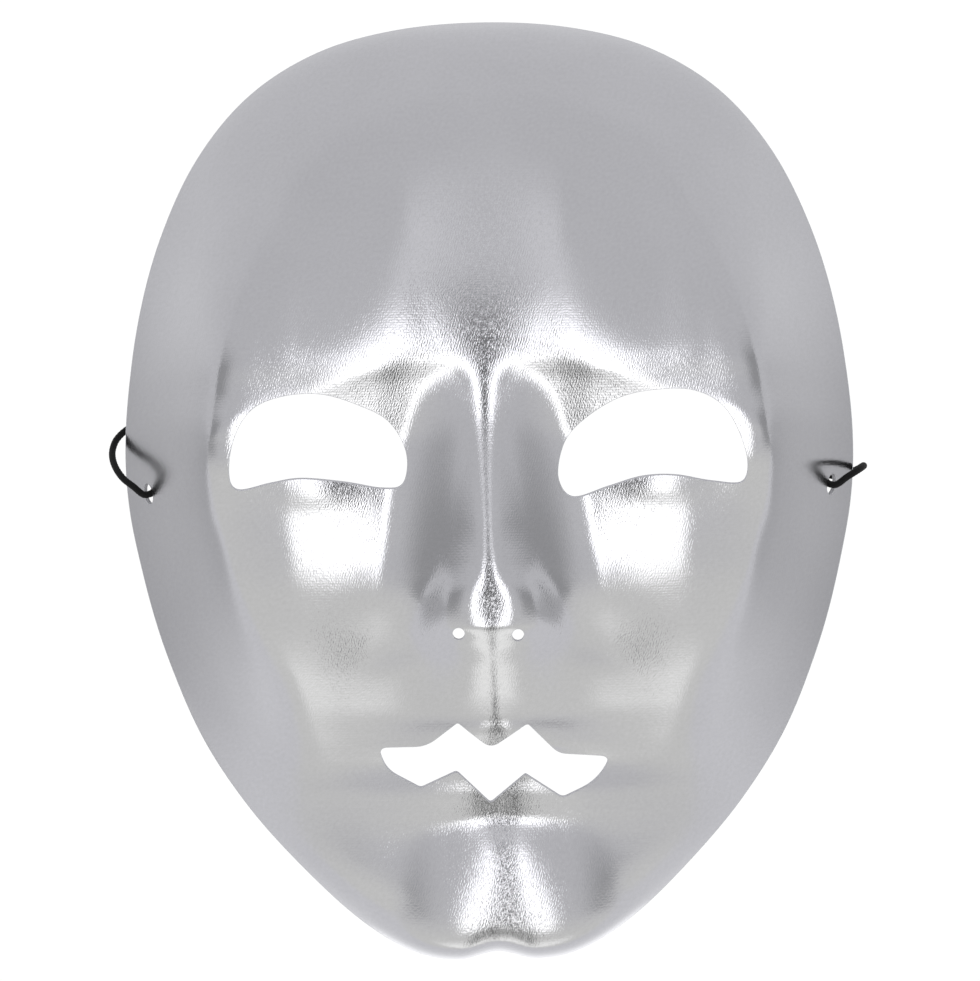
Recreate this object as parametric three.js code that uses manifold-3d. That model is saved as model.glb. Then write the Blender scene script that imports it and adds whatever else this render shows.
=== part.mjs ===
// A silver mime mask, lying face up on its rim: one moulded shell and the black elastic cord that holds it on
// Millimetres, +Z up, +Y towards the top of the head, +X to the right as the face is looked at.
// The origin is on the table, under the middle of the shell.

import * as THREE from 'three';
import { mergeVertices } from 'three/addons/utils/BufferGeometryUtils.js';
import Module from 'manifold-3d';

const wasm = await Module();
wasm.setup();

// Every y below is measured from the line under the eyes, which lies at this y from the shell's middle
const EYE_LINE_Y = -1.4;

// Sheet
const WALL = 1.2; // plastic sheet with the cloth laminated on its front
const FRONT_HEIGHT = 60; // brow and cheeks above the table
const CHIN_RIM = { lift: 28, reach: [-45, -105] }; // the rim rises under the chin
const EAR_RIM = { lift: 5, middle: 8, half: 26, out: 40 }; // shallow arch in each side rim, over the cord

// Right half of the rim, seen from above, from the top of the head to the cleft of the chin
const RIM = [
  [0, 118.8], [22, 117.2], [42, 111.8], [59.5, 101.1], [73, 85.2], [82.5, 65.6], [88.5, 44.6],
  [91.6, 22], [91.6, 0], [88.8, -18], [83, -39.4], [74.2, -60.2], [61.6, -78.3], [46, -94.8],
  [32.2, -107.1], [20.5, -114], [9.8, -116], [0, -114.1],
];

// The dome under the features: round over the forehead, straight walls at the sides.
// Shares are of the way from the middle of the face to the rim.
const FOREHEAD_POWER = 3;
const FOREHEAD_CUT = 0.965; // the round curve is cut off here, so that the rim isn't upright
const SIDE_BEND = { // where the front turns into the side wall, softer towards the chin and the top of the head
  at: 0.745, soft: [[-100, 0.13], [-50, 0.09], [-16, 0.05], [20, 0.045], [60, 0.09], [100, 0.11]],
};
const SIDEWAYS = [0.3, 0.85]; // from forehead to side wall, by the sine of the angle from the top of the head
const RIM_LIFT_REACH = [0.5, 1];
const FEATURES_END_POWER = 8; // the features die away towards the rim, and the chin only just before it
const CHIN_END_POWER = 40;

// Features. A pair like [78, 44] is a fade: none at the first place, in full at the second.
const MIDDLE = [[-40, 0], [15, -0.9], [50, -0.9], [110, 0]]; // the face's middle line isn't quite straight
const FOREHEAD_LEAN = { slope: 0.1, from: 31, soft: 5 };
const KEEL = { // a faint ridge down the forehead's middle line, which narrows into the nose
  drop: 0.3, width: [[28, 5], [33, 8], [38, 16], [45, 18], [60, 26]], above: [92, 56], below: [-66, -52],
};
const BROW = { // its crest, the slope from there down to the eye, and the forehead's lean above it
  crest: [
    [0, 26], [3, 27.5], [8, 31], [17, 33.5], [27, 32.5], [42, 27], [56, 21], [64, 17], [72, 8], [80, 0],
  ],
  soft: 2, undercut: 0.17, hollowEnd: 22, hollowEndSoft: 5, hollowLow: [-75, -25], out: [92, 66],
  lean: 0.12, leanFrom: [12, 30], leanTo: [70, 52], leanEnd: 26, leanEndSoft: 10,
};
const NOSE = {
  height: [
    [-58, 0], [-51, 0.5], [-46, 1.8], [-42, 4.6], [-37, 9], [-33, 11.8], [-29, 13.1], [-24, 12.9],
    [-18, 11.3], [-12, 9.5], [-6, 7.8], [0, 6.1], [6, 4.6], [12, 3], [18, 1.6], [24, 0.8], [30, 0.3], [36, 0],
  ],
  halfWidth: [[-60, 18], [-28, 12.5], [0, 11], [20, 9], [34, 7], [50, 14]],
  foot: [[-52, 40], [-40, 31], [-30, 28], [0, 25], [12, 19], [22, 13.5], [27, 9.5], [33, 5], [40, 1]],
  footWidth: [[-52, 38], [-40, 24], [-30, 18], [0, 16], [14, 12]],
  power: 2.5,
};
const CHEEK = {
  x: 40, y: -12, height: 0.9, halfWidth: 24, halfHeight: 18,
  turn: [[-80, 0.07], [-20, 0.085], [5, 0.09], [28, 0.13], [60, 0.12], [100, 0.06]],
  from: [[-60, 24], [-20, 26], [12, 26], [36, 16], [60, 14]],
  soft: [[-60, 10], [-20, 4], [12, 5], [36, 8]],
  outerTurn: 0.14, outerFrom: 48, outerSoft: 5, outerBelow: [14, -4],
};
const LID = { x: 38, y: 1, height: 0.6, halfWidth: 7, halfHeight: 6 };
const JAW_FALL = { slope: 0.2, from: -24, fromSoft: 14, to: -84, toSoft: 10 };
const LIPS = { y: -60, height: 11, halfWidth: 36, halfHeight: 17 };
const LIP_FOLD = { y: -50, slope: 0.16, soft: 2, halfWidth: 9, halfHeight: 10 };
const LOWER_LIP = { y: -78, height: 2, halfWidth: 17, halfHeight: 4.5 };
const CHIN = {
  y: -105.8, top: 50.5, halfHeight: 24, halfWidth: 30, blend: 4, crownUpright: 61,
  crownAcross: [[-112, 60], [-98, 55], [-86, 40], [-70, 30]],
  endPowerUpright: 6, endPowerAcross: 4,
};

// Openings
const LEFT_EYE = [
  [-63.3, 5], [-61.8, 13.9], [-57.4, 20.6], [-50, 23.6], [-40.8, 24], [-31.9, 21.3], [-24.3, 17.1],
  [-20.2, 9.6], [-21, 2], [-26.1, 0.9], [-35, 2.5], [-45.7, 3.6], [-53.1, 2.6], [-61.2, 1.1],
];
const RIGHT_EYE = [
  [16.6, 3], [18.3, 11.4], [23.2, 16.9], [31.4, 21.8], [40.3, 23.7], [50, 23.4], [57.6, 18.8], [62.2, 8.6],
  [61.6, 1.2], [53.8, 1.3], [45, 2.9], [36.9, 2.7], [28.7, 0.4], [20, -2],
];
const MOUTH = [ // x, y and the rounding of each corner
  [-28.4, -62.5, 2.2], [-16.6, -62.1, 3], [-8.8, -56.1, 0.5], [-0.9, -62.4, 2.4], [8.1, -56.5, 0.8],
  [15.6, -64.3, 2], [28.6, -65.6, 2.8], [24.8, -71.6, 4], [16.4, -75.3, 1], [7.4, -69.2, 0.4],
  [-1.2, -76.2, 0.8], [-9.3, -68.3, 0.8], [-18.2, -72.4, 0.8], [-26.6, -68, 3],
];
const NOSTRILS = [[-8.1, -34.2], [6.1, -34.7]];
const NOSTRIL_RADIUS = 1.45;
const LEFT_CORD_HOLE = [-85.8, 0.6];
const RIGHT_CORD_HOLE = [85.8, 0.1];
const CORD_HOLE_RADIUS = 2.6;

// Cord
const CORD_RADIUS = 0.9;
const CORD_SIDES = 8;
const CORD_STEP = 4.4;
const CORD_OUT = 1; // how far it comes straight out of its hole
const ON_TABLE = CORD_RADIUS + 0.05;
const KNOT_RADIUS = 3.3;
const KNOT_SINK = WALL + 3.5; // the knot's middle, under the outer face of the sheet
const FACE_GAP = 0.3; // between pieces that touch

// The cord's route from hole to hole: round the left rim, loosely through the hollow and round the right rim
const CORD_ROUTE = [
  [-89.4, 2.6, 15.2], [-91.7, 4.4, 14.2], [-93.7, 6.9, 11.8], [-94.9, 9.6, 8.6], [-95.1, 12.1, 5.4],
  [-94.2, 14.6, 3.2], [-91.8, 17, 1.4], [-87.6, 19.2, ON_TABLE], [-82.5, 22.5, ON_TABLE], [-76.5, 31, ON_TABLE],
  [-70.5, 42, ON_TABLE], [-60, 51.5, ON_TABLE], [-46, 54, ON_TABLE], [-32, 51, ON_TABLE],
  [-18, 50.5, ON_TABLE], [-4, 55, ON_TABLE], [10, 62, ON_TABLE], [25, 66, ON_TABLE], [40, 64, ON_TABLE],
  [53.5, 56.5, ON_TABLE], [63.5, 45, ON_TABLE], [70.5, 31.5, ON_TABLE], [75.5, 18.5, ON_TABLE],
  [80, 8, ON_TABLE], [85.3, 2.6, ON_TABLE],
  [89.6, 2.5, 1.3], [92.8, 3.7, 3.2], [94.2, 4.6, 6.6], [93.9, 4.4, 10.6], [92.2, 3.4, 14], [89.6, 1.9, 15.2],
];

// Mesh
const ANGLES = 76;
const RINGS = 24;
const RIM_STEPS = 24; // between two points of the rim
const EYE_STEPS = 3; // between two points of an eye's outline
const CORNER_STEPS = 3;
const ROUND_SIDES = 12;
const SLOPE_STEP = 0.4; // over which a slope is measured
const SAME_POINT = 1e-4; // points closer than this are one
const PUNCH_DEPTH = 8 * WALL;

const mirrored = (half) => [...half, ...half.slice(1, -1).reverse().map(([x, y]) => [-x, y])];

function smooth(u) {
  const v = Math.min(Math.max(u, 0), 1);
  return v * v * (3 - 2 * v);
}

const fade = (v, [none, full]) => smooth((v - none) / (full - none));

const bell = (u) => Math.exp(-u * u);

// A rounded rise of the given form, x from its middle
function swelling(x, y, form) {
  return form.height * bell(x / form.halfWidth) * bell((y - form.y) / form.halfHeight);
}

// A ramp that starts softly: 0 well below u = 0, and u well above it
const ramp = (u, soft) => 0.5 * (u + Math.hypot(u, soft));

// A soft fold: 0 on its line, slope 1 away from it
const fold = (u, soft) => Math.hypot(u, soft) - soft;

// A smooth curve through [place, value] pairs that never overshoots them
function through(pairs) {
  const p = [...pairs].sort((a, b) => a[0] - b[0]);
  const slopes = p.slice(1).map((q, i) => (q[1] - p[i][1]) / (q[0] - p[i][0]));
  const tangents = p.map((_, i) => {
    const [before, after] = [slopes[i - 1] ?? 0, slopes[i] ?? 0];
    return before * after > 0 ? (2 * before * after) / (before + after) : 0;
  });
  return (place) => {
    const v = Math.min(Math.max(place, p[0][0]), p.at(-1)[0]);
    let i = 0;
    while (i < p.length - 2 && v > p[i + 1][0]) i += 1;
    const width = p[i + 1][0] - p[i][0];
    const u = (v - p[i][0]) / width;
    const line = p[i][1] + (p[i + 1][1] - p[i][1]) * smooth(u);
    return line + width * u * (1 - u) * ((1 - u) * tangents[i] - u * tangents[i + 1]);
  };
}

// Points round a closed smooth curve through the given ones
function smoothLoop(points, stepsPerSpan) {
  const corners = points.map(([x, y]) => new THREE.Vector3(x, y, 0));
  const spline = new THREE.CatmullRomCurve3(corners, true, 'catmullrom', 0.5);
  return spline.getPoints(points.length * stepsPerSpan).slice(0, -1).map((q) => [q.x, q.y]);
}

// The rim's distance from the middle of the face, by the angle from the top of the head
const rimByAngle = smoothLoop(mirrored(RIM), RIM_STEPS)
  .map(([x, y]) => [Math.atan2(x, y), Math.hypot(x, y)])
  .sort((a, b) => a[0] - b[0]);

function rimRadius(x, y) {
  const angle = Math.atan2(x, y);
  const found = rimByAngle.findIndex((q) => q[0] >= angle);
  const next = Math.max(found, 0);
  const [a, b] = [rimByAngle.at(next - 1), rimByAngle[next]];
  const turn = (d) => (d + 2 * Math.PI) % (2 * Math.PI);
  return a[1] + (b[1] - a[1]) * (turn(angle - a[0]) / turn(b[0] - a[0]));
}

const bendSoft = through(SIDE_BEND.soft);
function dome(share, sideways, y) {
  const round = (u) => Math.sqrt(1 - u ** FOREHEAD_POWER);
  const cut = round(FOREHEAD_CUT);
  const forehead = (round(FOREHEAD_CUT * share) - cut) / (1 - cut);
  const soft = bendSoft(y);
  const bend = (u) => ramp(u - SIDE_BEND.at, soft);
  const side = 1 - (bend(share) - bend(0)) / (bend(1) - bend(0));
  return forehead + (side - forehead) * fade(sideways, SIDEWAYS);
}

function rimLift(x, y) {
  const chin = CHIN_RIM.lift * fade(y, CHIN_RIM.reach);
  const ear = EAR_RIM.lift * smooth(1 - Math.abs(y - EAR_RIM.middle) / EAR_RIM.half);
  return chin + (Math.abs(x) > EAR_RIM.out ? ear : 0);
}

// The forms below take x as the distance from the middle line, because the face is the same on both sides

const keelWidth = through(KEEL.width);
function forehead(x, y) {
  const lean = FOREHEAD_LEAN.slope * ramp(y - FOREHEAD_LEAN.from, FOREHEAD_LEAN.soft);
  const beside = 1 - bell(x / keelWidth(y));
  return -lean - KEEL.drop * beside * fade(y, KEEL.above) * fade(y, KEEL.below);
}

const browCrest = through(BROW.crest);
const noseFoot = through(NOSE.foot);
const noseFootWidth = through(NOSE.footWidth);
function eyeHollow(x, y) {
  const over = y - browCrest(x);
  const under = ramp(-over, BROW.soft) - ramp(-over - BROW.hollowEnd, BROW.hollowEndSoft);
  const hollow = BROW.undercut * under * fade(y, BROW.hollowLow) * fade(x, BROW.out);
  const besideNose = smooth((x - noseFoot(y)) / noseFootWidth(y) + 1);
  const rise = ramp(over, BROW.soft) - ramp(over - BROW.leanEnd, BROW.leanEndSoft);
  const lean = BROW.lean * rise * fade(x, BROW.leanFrom) * fade(x, BROW.leanTo);
  return swelling(x - LID.x, y, LID) - lean - hollow * besideNose;
}

const noseHeight = through(NOSE.height);
const noseHalfWidth = through(NOSE.halfWidth);
function nose(x, y) {
  return noseHeight(y) * Math.exp(-((x / noseHalfWidth(y)) ** NOSE.power));
}

const cheekTurn = through(CHEEK.turn);
const cheekFrom = through(CHEEK.from);
const cheekSoft = through(CHEEK.soft);
function cheek(x, y) {
  const turn = cheekTurn(y) * ramp(x - cheekFrom(y), cheekSoft(y));
  const outer = CHEEK.outerTurn * ramp(x - CHEEK.outerFrom, CHEEK.outerSoft) * fade(y, CHEEK.outerBelow);
  return swelling(x - CHEEK.x, y, CHEEK) - turn - outer;
}

function lips(x, y) {
  const fall = ramp(JAW_FALL.from - y, JAW_FALL.fromSoft) - ramp(JAW_FALL.to - y, JAW_FALL.toSoft);
  const foldReach = bell((y - LIP_FOLD.y) / LIP_FOLD.halfHeight) * bell(x / LIP_FOLD.halfWidth);
  const groove = LIP_FOLD.slope * fold(x, LIP_FOLD.soft) * foldReach;
  return swelling(x, y, LIPS) + swelling(x, y, LOWER_LIP) - JAW_FALL.slope * fall - groove;
}

const chinCrown = through(CHIN.crownAcross);
function chinBoss(x, y) {
  const v = Math.abs(y - CHIN.y);
  const crown = (x * x) / (2 * chinCrown(y)) + (v * v) / (2 * CHIN.crownUpright);
  const ends = (v / CHIN.halfHeight) ** CHIN.endPowerUpright + (x / CHIN.halfWidth) ** CHIN.endPowerAcross;
  return CHIN.top - crown - ends;
}

const middleLine = through(MIDDLE);

// Height of the mask's front over the table
function height(plan, y) {
  const x = Math.abs(plan - middleLine(y));
  const r = Math.hypot(plan, y);
  const share = Math.min(r / rimRadius(plan, y), 1);
  const features = forehead(x, y) + eyeHollow(x, y) + nose(x, y) + cheek(x, y) + lips(x, y);
  const base = FRONT_HEIGHT * dome(share, r > 0 ? Math.abs(plan) / r : 0, y)
    + rimLift(x, y) * fade(share, RIM_LIFT_REACH)
    + features * (1 - share ** FEATURES_END_POWER);
  const boss = chinBoss(x, y);
  const joined = 0.5 * (base + boss + Math.hypot(base - boss, CHIN.blend));
  return base + (joined - base) * (1 - share ** CHIN_END_POWER);
}

function outwardNormal(x, y) {
  const d = SLOPE_STEP / 2;
  const slopeX = (height(x + d, y) - height(x - d, y)) / SLOPE_STEP;
  const slopeY = (height(x, y + d) - height(x, y - d)) / SLOPE_STEP;
  return new THREE.Vector3(-slopeX, -slopeY, 1).normalize();
}

const onFace = (x, y) => new THREE.Vector3(x, y, height(x, y));

// A point on the line square to the sheet at a hole, this far out from its face
const onHoleAxis = ([x, y], out) => onFace(x, y).addScaledVector(outwardNormal(x, y), out);

// One closed skin: the front, the back a wall's thickness under it, and the flat rim between them
function shellGeometry() {
  const positions = [];
  const indices = [];
  const add = (v) => positions.push(v.x, v.y, v.z) / 3 - 1;
  const behind = (v) => v.clone().addScaledVector(outwardNormal(v.x, v.y), -WALL);
  const sheetPoint = (x, y) => {
    const v = onFace(x, y);
    return { front: add(v), back: add(behind(v)) };
  };
  const rimPoint = (x, y) => {
    const inset = 1 - WALL / Math.hypot(x, y);
    const lift = rimLift(x, y);
    const [outer, inner] = [1, inset].map((share) => new THREE.Vector3(x * share, y * share, lift));
    return { front: add(outer), back: add(inner) };
  };
  const middle = sheetPoint(0, 0);
  const rings = Array.from({ length: RINGS }, (_, i) => Array.from({ length: ANGLES }, (__, k) => {
    const angle = (k / ANGLES) * 2 * Math.PI;
    const [east, north] = [Math.sin(angle), Math.cos(angle)];
    const r = (rimRadius(east, north) * (i + 1)) / RINGS;
    return i + 1 < RINGS ? sheetPoint(r * east, r * north) : rimPoint(r * east, r * north);
  }));
  const quad = (a, b, c, d) => indices.push(a, b, c, a, c, d);
  for (let k = 0; k < ANGLES; k += 1) {
    const next = (k + 1) % ANGLES;
    indices.push(middle.front, rings[0][next].front, rings[0][k].front);
    indices.push(middle.back, rings[0][k].back, rings[0][next].back);
    for (let i = 0; i + 1 < RINGS; i += 1) {
      const [a, b, c, d] = [rings[i][k], rings[i][next], rings[i + 1][next], rings[i + 1][k]];
      quad(a.front, b.front, c.front, d.front);
      quad(b.back, a.back, d.back, c.back);
    }
    const [a, b] = [rings[RINGS - 1][k], rings[RINGS - 1][next]];
    quad(a.front, b.front, b.back, a.back);
  }
  const geometry = new THREE.BufferGeometry();
  geometry.setAttribute('position', new THREE.Float32BufferAttribute(positions, 3));
  geometry.setIndex(indices);
  return geometry;
}

function toSolid(geometry) {
  geometry.deleteAttribute('normal');
  geometry.deleteAttribute('uv');
  const merged = mergeVertices(geometry, SAME_POINT);
  return new wasm.Manifold(new wasm.Mesh({
    numProp: 3,
    vertProperties: Float32Array.from(merged.attributes.position.array),
    triVerts: Uint32Array.from(merged.index.array),
  }));
}

function toGeometry(solid) {
  const mesh = solid.getMesh();
  const geometry = new THREE.BufferGeometry();
  geometry.setAttribute('position', new THREE.BufferAttribute(mesh.vertProperties, 3));
  geometry.setIndex(new THREE.BufferAttribute(mesh.triVerts, 1));
  geometry.computeVertexNormals();
  return geometry;
}

// A closed outline of straight runs with rounded corners, as points
function roundedOutline(corners) {
  return corners.flatMap(([x, y, rounding], i) => {
    const corner = new THREE.Vector2(x, y);
    const towards = ([tx, ty]) => {
      const way = new THREE.Vector2(tx, ty).sub(corner).normalize();
      return corner.clone().addScaledVector(way, rounding);
    };
    const [before, after] = [corners.at(i - 1), corners[(i + 1) % corners.length]];
    const bend = new THREE.QuadraticBezierCurve(towards(before), corner, towards(after));
    return bend.getPoints(CORNER_STEPS).map((q) => [q.x, q.y]);
  });
}

// An upright punch of the given outline, right through the sheet
function punch(outline) {
  const shape = new THREE.Shape(outline.map(([x, y]) => new THREE.Vector2(x, y)));
  const geometry = new THREE.ExtrudeGeometry(shape, { depth: FRONT_HEIGHT, bevelEnabled: false });
  return geometry.translate(0, 0, FRONT_HEIGHT / 2);
}

// A round punch, square to the sheet at the given place
function roundPunch([x, y], radius) {
  const geometry = new THREE.CylinderGeometry(radius, radius, PUNCH_DEPTH, ROUND_SIDES);
  const turn = new THREE.Quaternion().setFromUnitVectors(new THREE.Vector3(0, 1, 0), outwardNormal(x, y));
  const at = onFace(x, y);
  return geometry.applyQuaternion(turn).translate(at.x, at.y, at.z);
}

function maskShell() {
  const cuts = [
    punch(smoothLoop(LEFT_EYE, EYE_STEPS)),
    punch(smoothLoop(RIGHT_EYE, EYE_STEPS)),
    punch(roundedOutline(MOUTH)),
    ...NOSTRILS.map((at) => roundPunch(at, NOSTRIL_RADIUS)),
    roundPunch(LEFT_CORD_HOLE, CORD_HOLE_RADIUS),
    roundPunch(RIGHT_CORD_HOLE, CORD_HOLE_RADIUS),
  ];
  return toGeometry(cuts.reduce((solid, cut) => solid.subtract(toSolid(cut)), toSolid(shellGeometry())));
}

function cord() {
  const fromKnot = KNOT_RADIUS + FACE_GAP - KNOT_SINK;
  const route = [
    onHoleAxis(LEFT_CORD_HOLE, fromKnot),
    onHoleAxis(LEFT_CORD_HOLE, CORD_OUT),
    ...CORD_ROUTE.map((q) => new THREE.Vector3(...q)),
    onHoleAxis(RIGHT_CORD_HOLE, CORD_OUT),
    onHoleAxis(RIGHT_CORD_HOLE, fromKnot),
  ];
  const path = new THREE.CatmullRomCurve3(route, false, 'centripetal');
  const section = Array.from({ length: CORD_SIDES }, (_, i) => {
    const angle = (i / CORD_SIDES) * 2 * Math.PI;
    return new THREE.Vector2(CORD_RADIUS * Math.cos(angle), CORD_RADIUS * Math.sin(angle));
  });
  const steps = Math.round(path.getLength() / CORD_STEP);
  return new THREE.ExtrudeGeometry(new THREE.Shape(section), { steps, extrudePath: path });
}

function knot(hole) {
  const at = onHoleAxis(hole, -KNOT_SINK);
  return new THREE.SphereGeometry(KNOT_RADIUS, ROUND_SIDES, ROUND_SIDES / 2).translate(at.x, at.y, at.z);
}

function piece(name, geometry, material) {
  const mesh = new THREE.Mesh(geometry, material);
  mesh.name = name;
  return mesh;
}

const silverCloth = new THREE.MeshStandardMaterial({ color: 0xb4b4b8, roughness: 0.35, metalness: 0.9 });
const blackElastic = new THREE.MeshStandardMaterial({ color: 0x101011, roughness: 0.85, metalness: 0 });

const mask = new THREE.Group();
mask.add(piece('mask_shell', maskShell(), silverCloth));
mask.add(piece('elastic_cord', cord(), blackElastic));
mask.add(piece('left_knot', knot(LEFT_CORD_HOLE), blackElastic));
mask.add(piece('right_knot', knot(RIGHT_CORD_HOLE), blackElastic));
mask.position.y = EYE_LINE_Y;

export default mask;
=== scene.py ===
"""The finished look of a silver mime mask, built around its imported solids.

The shell is a thin moulded sheet faced with silver cloth. A black elastic cord runs through two holes in
its sides, with a knot behind each. The mask lies face up on a pale table and is seen from straight above.
"""

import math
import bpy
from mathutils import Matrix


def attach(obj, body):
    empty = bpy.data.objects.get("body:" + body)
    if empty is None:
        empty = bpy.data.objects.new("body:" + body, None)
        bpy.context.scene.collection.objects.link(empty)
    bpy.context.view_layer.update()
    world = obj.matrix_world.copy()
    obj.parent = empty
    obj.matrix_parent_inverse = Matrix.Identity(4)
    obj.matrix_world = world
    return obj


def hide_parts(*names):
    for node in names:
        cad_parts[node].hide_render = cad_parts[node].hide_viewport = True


bl_info = {
    "name": "Silver mime mask",
    "version": (1, 0, 0),
    "blender": (4, 5, 0),
    "location": "View3D > Sidebar > Mime mask",
    "description": "Builds a cloth-faced mime mask with its elastic cord, its knots and a pale stage",
    "category": "Object",
}

import bpy
import numpy as np
from bpy.props import FloatProperty, FloatVectorProperty, IntProperty, PointerProperty
from mathutils import Vector
from mathutils.geometry import delaunay_2d_cdt
from mathutils.kdtree import KDTree

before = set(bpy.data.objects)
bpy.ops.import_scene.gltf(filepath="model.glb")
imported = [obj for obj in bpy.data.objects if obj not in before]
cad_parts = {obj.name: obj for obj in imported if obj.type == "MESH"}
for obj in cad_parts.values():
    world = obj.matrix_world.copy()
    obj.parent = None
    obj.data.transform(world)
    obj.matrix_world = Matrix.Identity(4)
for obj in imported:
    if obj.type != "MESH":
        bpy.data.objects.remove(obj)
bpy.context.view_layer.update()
BODY = "root"

# The form of the mask. It is worked out in millimetres, with y from the line under the eyes.
MM = 0.001
EYE_LINE_Y = -1.4

# Rim: its right half seen from above, from the top of the head to the cleft of the chin
RIM = [
    (0, 118.8), (22, 117.2), (42, 111.8), (59.5, 101.1), (73, 85.2), (82.5, 65.6), (88.5, 44.6),
    (91.6, 22), (91.6, 0), (88.8, -18), (83, -39.4), (74.2, -60.2), (61.6, -78.3), (46, -94.8),
    (32.2, -107.1), (20.5, -114), (9.8, -116), (0, -114.1),
]
WHOLE_RIM = RIM + [(-x, y) for x, y in RIM[-2:0:-1]]
RIM_STEPS = 200  # between two points of the rim, where its radius is looked up
CHIN_RIM = {"lift": 28, "reach": (-45, -105)}
EAR_RIM = {"lift": 5, "middle": 8, "half": 26, "out": 40}

# Dome under the features. A share is of the way from the middle of the face to the rim.
FRONT_HEIGHT = 60
FOREHEAD_POWER = 3
FOREHEAD_CUT = 0.965  # how much of its round curve the forehead uses
SIDE_BEND = {
    "at": 0.745, "soft": [(-100, 0.13), (-50, 0.09), (-16, 0.05), (20, 0.045), (60, 0.09), (100, 0.11)],
}
SIDEWAYS = (0.3, 0.85)  # from the forehead's curve to the bend of the sides
RIM_LIFT_REACH = (0.5, 1)
FEATURES_END_POWER = 8
CHIN_END_POWER = 60
LEAST_RADIUS = 1e-9  # keeps the middle of the face from a division by zero

# Features. A pair such as (56, 36) is a fade: nothing at the first place, all of it at the second. A list of
# pairs gives a value at each y, and for the brow's crest its y at each x. Slopes are in mm for each mm.
FOREHEAD_LEAN = {"slope": 0.1, "from": 35, "soft": 5}

# How far the face's middle line stands aside, because it isn't quite straight
MIDDLE = [(-105, 2.6), (-85, 2.2), (-62, 0.5), (-40, 0), (15, -0.9), (50, -0.9), (110, 0)]

# The forehead's middle runs down into the nose and stands out from what lies beside it
KEEL = {
    "drop": 0.3, "width": [(28, 7), (33, 11), (38, 16), (45, 18), (60, 26)],
    "above": (56, 36), "below": (-66, -52),
}

# The sheet turns in under the brow's crest, and leans back over its outer part
BROW = {
    "crest": [
        (0, 26), (3, 27.5), (8, 31), (17, 33), (27, 30), (42, 25), (56, 21), (64, 17), (72, 8), (80, 0),
    ],
    "soft": 1.6, "undercut": 0.19, "hollow_end": 22, "hollow_end_soft": 5, "hollow_low": (-75, -25),
    "out": (92, 66), "lean": 0.12, "lean_from": (18, 46), "lean_to": (70, 52), "lean_end": 26,
    "lean_end_soft": 10,
}

# The foot is where the nose meets the eye hollows, and the ridge falls off along a fine edge at each side
NOSE = {
    "height": [
        (-56, 0), (-53, 0.5), (-50, 1.3), (-47, 2.6), (-44, 4.2), (-41, 6), (-38, 8.1), (-36, 9.8),
        (-34, 11.8), (-32.5, 12.9), (-30, 13.3), (-27, 13.3), (-24, 12.9), (-18, 11.4), (-12, 9.6),
        (-6, 7.8), (0, 6), (6, 4.3), (12, 2.7), (18, 1.4), (24, 0.6), (30, 0.2), (36, 0),
    ],
    "half_width": [
        (-60, 18), (-46, 18), (-38, 17), (-32, 15.6), (-26, 13.8), (-20, 12), (0, 10.4), (20, 8.6),
        (34, 7), (50, 14),
    ],
    "power": [(-46, 2), (-38, 3), (-32, 3.4), (-25, 3.2), (-17, 2.4), (-8, 2)],
    "foot": [(-52, 40), (-40, 31), (-30, 28), (0, 25), (12, 21), (22, 18), (27, 15), (33, 8), (40, 1)],
    "foot_width": [(-52, 38), (-40, 24), (-30, 18), (0, 17), (14, 16), (27, 14)],
    "ridge": [(-34, 0.125), (-22, 0.12), (-10, 0.12)],
    "ridge_from": [
        (-55, 0.6), (-40, 0.6), (-34, 0.2), (-24, 0.4), (-14, 1.2), (0, 1.5), (14, 1.9), (23, 1.9),
        (29, 3.4), (36, 8),
    ],
    "ridge_width": [(-34, 2.6), (-24, 2.4), (-12, 3)],
    "ridge_soft": 0.8, "ridge_end_soft": 1.2, "ridge_above": (34, 26), "ridge_below": (-60, -52),
}

# Low swellings beside the nostrils and under the eye openings
FOLD = {"x": 18, "y": -26, "height": 2.6, "half_width": 13, "half_height": 10}
LID = {"x": 42.5, "y": 1, "height": 0.9, "half_width": 10, "half_height": 5}

# The cheek swells a little, then turns away from the front along one line and again along an outer one
CHEEK = {
    "x": 43, "y": -12, "height": 0.9, "half_width": 40, "half_height": 18,
    "turn": [
        (-80, 0.07), (-20, 0.085), (5, 0.09), (14, 0.118), (24, 0.148), (32, 0.13), (60, 0.12), (100, 0.06),
    ],
    "from": [(-60, 24), (-20, 26), (4, 26), (14, 17), (30, 17.5), (60, 22)],
    "soft": [(-60, 10), (-20, 4), (12, 5), (36, 6)],
    "outer_turn": 0.16, "outer_from": 49, "outer_soft": 3, "outer_below": (20, 0),
}

# Under the nose the face falls back as far as the chin, and the lips stand out from it
JAW_FALL = {"slope": 0.2, "from": -24, "from_soft": 14, "length": 60, "end_soft": 10}
LIPS = {
    "height": [
        (-95, 0), (-90, 0.2), (-86, 1.3), (-82, 3.4), (-78, 5.3), (-74, 6.1), (-70, 5.7), (-67, 5.6),
        (-64, 8.5), (-61.5, 10.9), (-59, 11), (-54, 9.7), (-50, 8.7), (-46, 7.7), (-42, 6.6), (-38, 5.6),
        (-34, 3.2), (-30, 1), (-25, 0),
    ],
    "half_width": [(-90, 30), (-74, 32), (-67, 24), (-60, 19), (-54, 17), (-44, 18), (-34, 12)],
}

# The chin is a boss with a radius each way over its crown, flanks that fall off and ends that drop
CHIN = {
    "y": -107, "top": 50.5, "blend": 3, "crown_upright": 110, "crown_across": 88,
    "flank": [(-106, 0), (-99, 0.05), (-92, 0.12), (-86, 0.15), (-78, 0.12)],
    "flank_from": 4, "flank_width": 10, "flank_soft": 2,
    "half_height": 23.5, "end_power_upright": 6, "half_width": 18, "end_power_across": 4,
}


# Curves, and the parts of the form at a place in plan
def smooth(u):
    v = np.clip(u, 0, 1)
    return v * v * (3 - 2 * v)


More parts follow.
